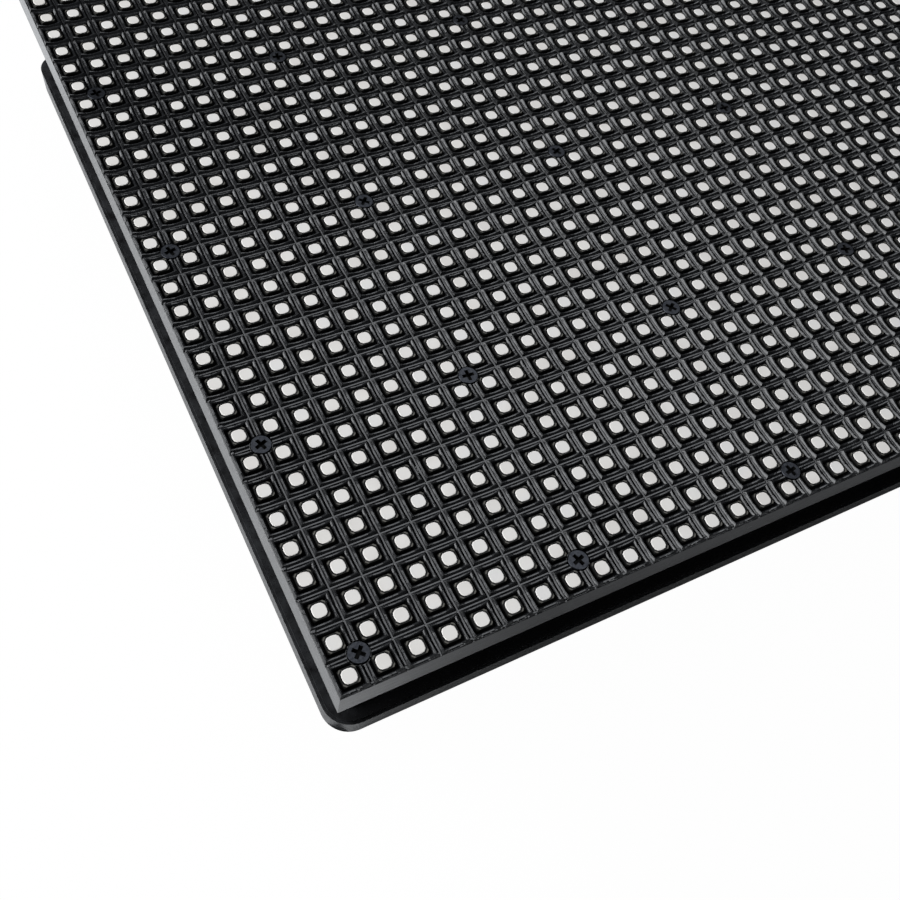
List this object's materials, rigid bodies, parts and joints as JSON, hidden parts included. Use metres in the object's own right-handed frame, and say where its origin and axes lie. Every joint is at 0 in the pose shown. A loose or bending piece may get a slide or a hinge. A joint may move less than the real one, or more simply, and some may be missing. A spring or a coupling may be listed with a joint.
{
  "type": "rgb led matrix panel",
  "caption": "Flat rectangular display panel: square lamps in a ribbed black mask over a circuit board, on a sealed moulded rear case with ribbon and power headers and threaded inserts.",
  "frame": {"origin": "middle of the rear rim's flat face, on which the panel rests", "axes": "+Z out of the lamp face, +X along the long side, +Y along the short side"},
  "size_m": [0.3198, 0.1598, 0.0244],
  "materials": {
    "mask_plastic": "satin moulded black",
    "lamp_resin": "frosted off-white resin in a black package",
    "board": "black solder mask",
    "case_plastic": "fine moulded grain",
    "seal_rubber": "soft silicone",
    "black_steel": "blackened steel",
    "insert_brass": "turned brass",
    "header_black": "moulded black",
    "pin_gold": "gold flash",
    "header_cream": "natural nylon",
    "pin_tin": "tinned",
    "chip_resin": "moulded epoxy",
    "capacitor_can": "brushed can",
    "ceramic": "fired ceramic"
  },
  "bodies": {
    "root": {"mask": "mask_plastic", "mask_sides": "mask_plastic", "lamps_left": "lamp_resin", "lamps_right": "lamp_resin", "circuit_board": "board", "rear_case": "case_plastic", "case_bosses": "case_plastic", "seal_ring": "seal_rubber", "mask_screws": "black_steel", "threaded_inserts": "insert_brass", "data_in_shroud": "header_black", "data_in_pins": "pin_gold", "data_out_shroud": "header_black", "data_out_pins": "pin_gold", "power_header": "header_cream", "power_pins": "pin_tin", "driver_chips": "chip_resin", "row_switch_chips": "chip_resin", "buffer_chips": "chip_resin", "smoothing_capacitors": "capacitor_can", "ceramic_capacitors": "ceramic"}
  },
  "joints": []
}
